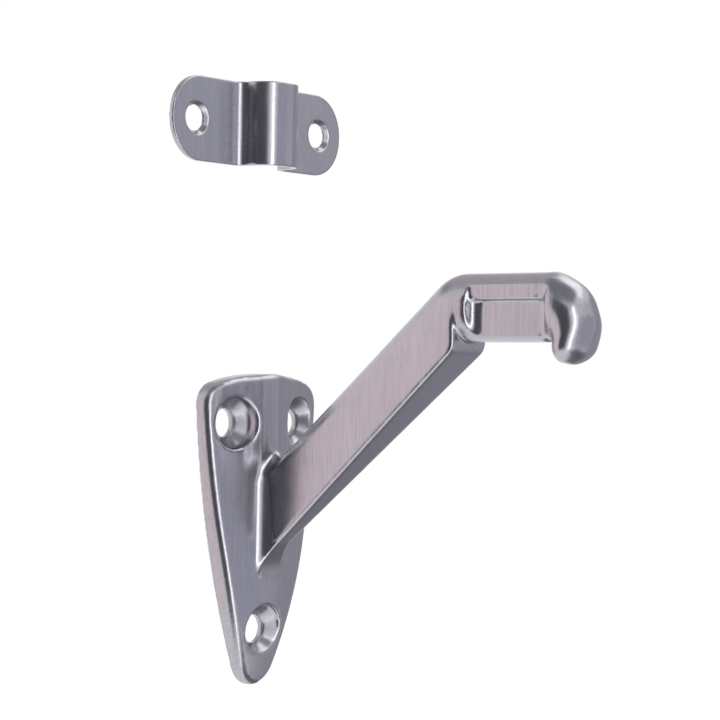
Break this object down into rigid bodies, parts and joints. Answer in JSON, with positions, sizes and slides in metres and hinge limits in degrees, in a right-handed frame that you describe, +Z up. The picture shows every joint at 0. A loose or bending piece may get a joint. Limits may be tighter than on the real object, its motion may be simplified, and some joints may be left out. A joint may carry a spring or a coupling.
{
  "type": "handrail bracket",
  "caption": "Cast wall bracket with shield-shaped screw plate, upswept arm and hooked rail seat, with a loose channel-bent strap that clamps the rail onto the seat",
  "frame": {"origin": "on the wall plane, midway between the two upper screw holes", "axes": "+X out of the wall into the room, +Y along the wall, +Z up; both pieces are symmetric about Y = 0"},
  "size_m": [0.0971, 0.0616, 0.1441],
  "materials": {
    "satin_metal": "satin, finely brushed, with bright polished edges",
    "satin_strip": "satin strip, brushed along its length"
  },
  "bodies": {
    "root": {"bracket": "satin_metal", "strap": "satin_strip"}
  },
  "joints": []
}
